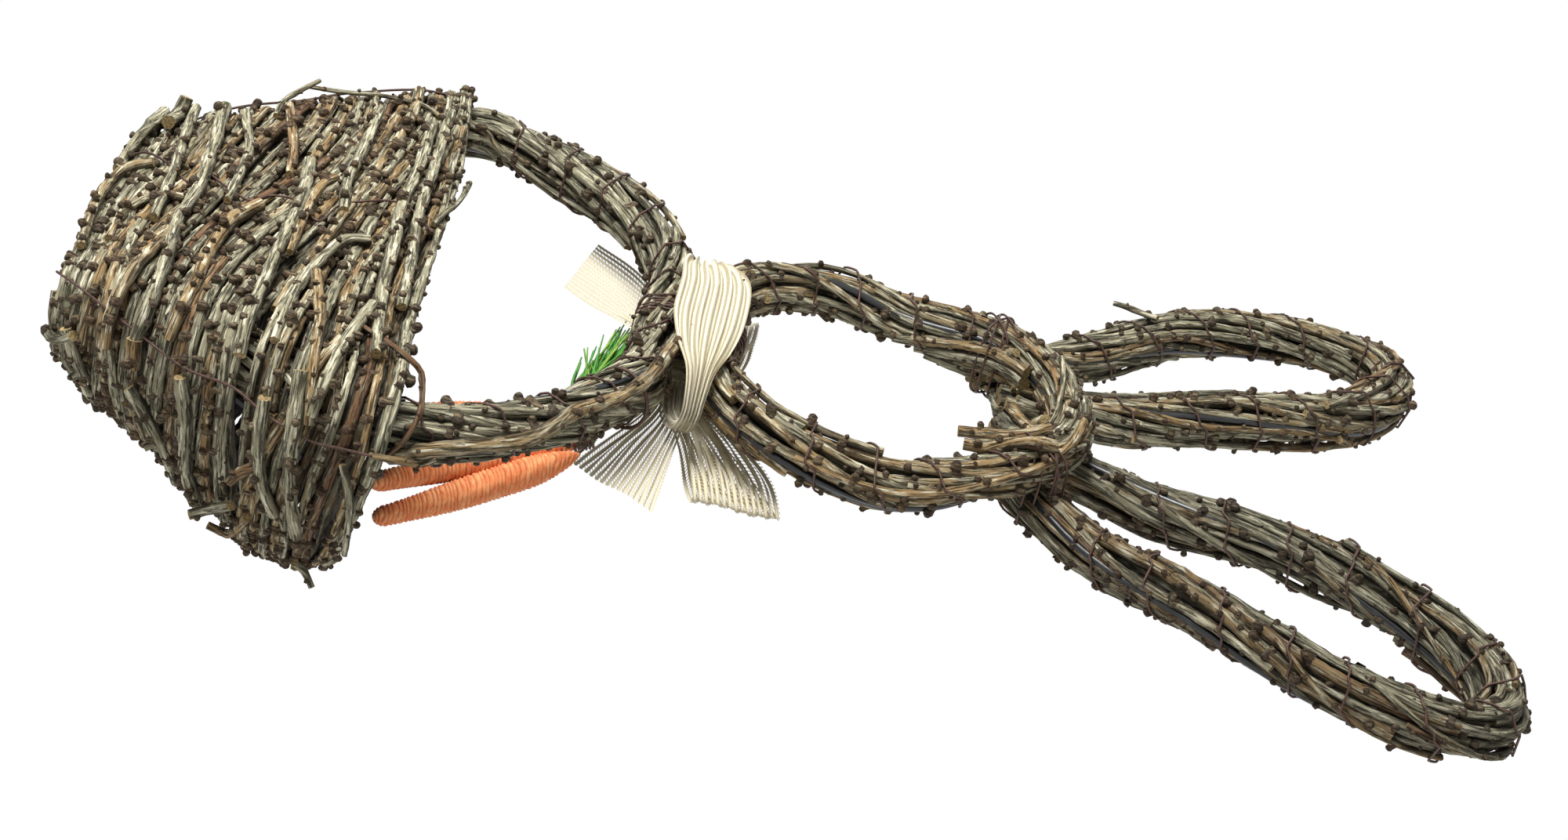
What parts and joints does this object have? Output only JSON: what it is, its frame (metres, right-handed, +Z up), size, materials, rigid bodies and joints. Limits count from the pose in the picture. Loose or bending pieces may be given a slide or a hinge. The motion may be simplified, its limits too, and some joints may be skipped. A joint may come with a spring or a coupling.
{
  "type": "hanging wall basket",
  "caption": "Wall basket of bundled twigs in a rabbit outline, with a wound twig pocket, a ribbon bow at the neck and a hanging bunch of twine carrots.",
  "frame": {"origin": "under the top of the head hoop, in the middle of its width and depth, where the wall hook carries the basket", "axes": "+Z up towards the ears, +Y towards the wall, +X to the right for someone in the room who faces the wall, which is the side away from the bunch of carrots"},
  "size_m": [0.3263, 0.1629, 0.6104],
  "materials": {
    "twig": "rough grey bark",
    "dark_twig": "rough brown bark",
    "frame_wire": "smooth black coating",
    "rust_wire": "dull brown",
    "jute_ribbon": "coarse open weave",
    "orange_twine": "wound twine",
    "greens": "soft grass strands"
  },
  "bodies": {
    "basket": {"body_binding": "rust_wire", "body_core_wire": "frame_wire", "body_twig_1": "twig", "body_twig_2": "dark_twig", "body_twig_3": "twig", "body_twig_4": "dark_twig", "body_twig_5": "twig", "ear_left_binding": "rust_wire", "ear_left_core_wire": "frame_wire", "ear_left_tie_wire": "rust_wire", "ear_left_twig_1": "twig", "ear_left_twig_2": "dark_twig", "ear_left_twig_3": "twig", "ear_left_twig_4": "dark_twig", "ear_left_twig_5": "twig", "ear_right_binding": "rust_wire", "ear_right_core_wire": "frame_wire", "ear_right_tie_wire": "rust_wire", "ear_right_twig_1": "twig", "ear_right_twig_2": "dark_twig", "ear_right_twig_3": "twig", "ear_right_twig_4": "dark_twig", "ear_right_twig_5": "twig", "head_binding": "rust_wire", "head_core_wire": "frame_wire", "head_twig_1": "twig", "head_twig_2": "dark_twig", "head_twig_3": "twig", "head_twig_4": "dark_twig", "head_twig_5": "twig", "neck_tie_wire": "rust_wire", "pocket_floor_winding": "dark_twig", "pocket_lacing_back": "rust_wire", "pocket_lacing_left": "rust_wire", "pocket_lacing_right": "rust_wire", "pocket_rib_1": "frame_wire", "pocket_rib_2": "frame_wire", "pocket_rib_3": "frame_wire", "pocket_rim_wire": "frame_wire", "pocket_winding_1": "twig", "pocket_winding_2": "dark_twig", "pocket_winding_3": "twig", "pocket_winding_4": "dark_twig", "pocket_winding_5": "twig", "pocket_winding_6": "dark_twig", "ribbon_knot": "jute_ribbon", "ribbon_loop_left": "jute_ribbon", "ribbon_loop_right": "jute_ribbon", "ribbon_tail_left": "jute_ribbon", "ribbon_tail_right": "jute_ribbon", "ribbon_wrap": "jute_ribbon"},
    "carrots": {"carrot_front_core": "orange_twine", "carrot_front_twine": "orange_twine", "carrot_greens": "greens", "carrot_hook": "rust_wire", "carrot_middle_core": "orange_twine", "carrot_middle_twine": "orange_twine", "carrot_side_core": "orange_twine", "carrot_side_twine": "orange_twine"}
  },
  "joints": [
    {"name": "carrot_swing", "type": "hinge", "parent": "basket", "child": "carrots", "pos_m": [-0.0682, -0.0075, -0.1801], "axis": [0.8735, 0, 0.4868], "range_deg": [-15, 30]}
  ]
}
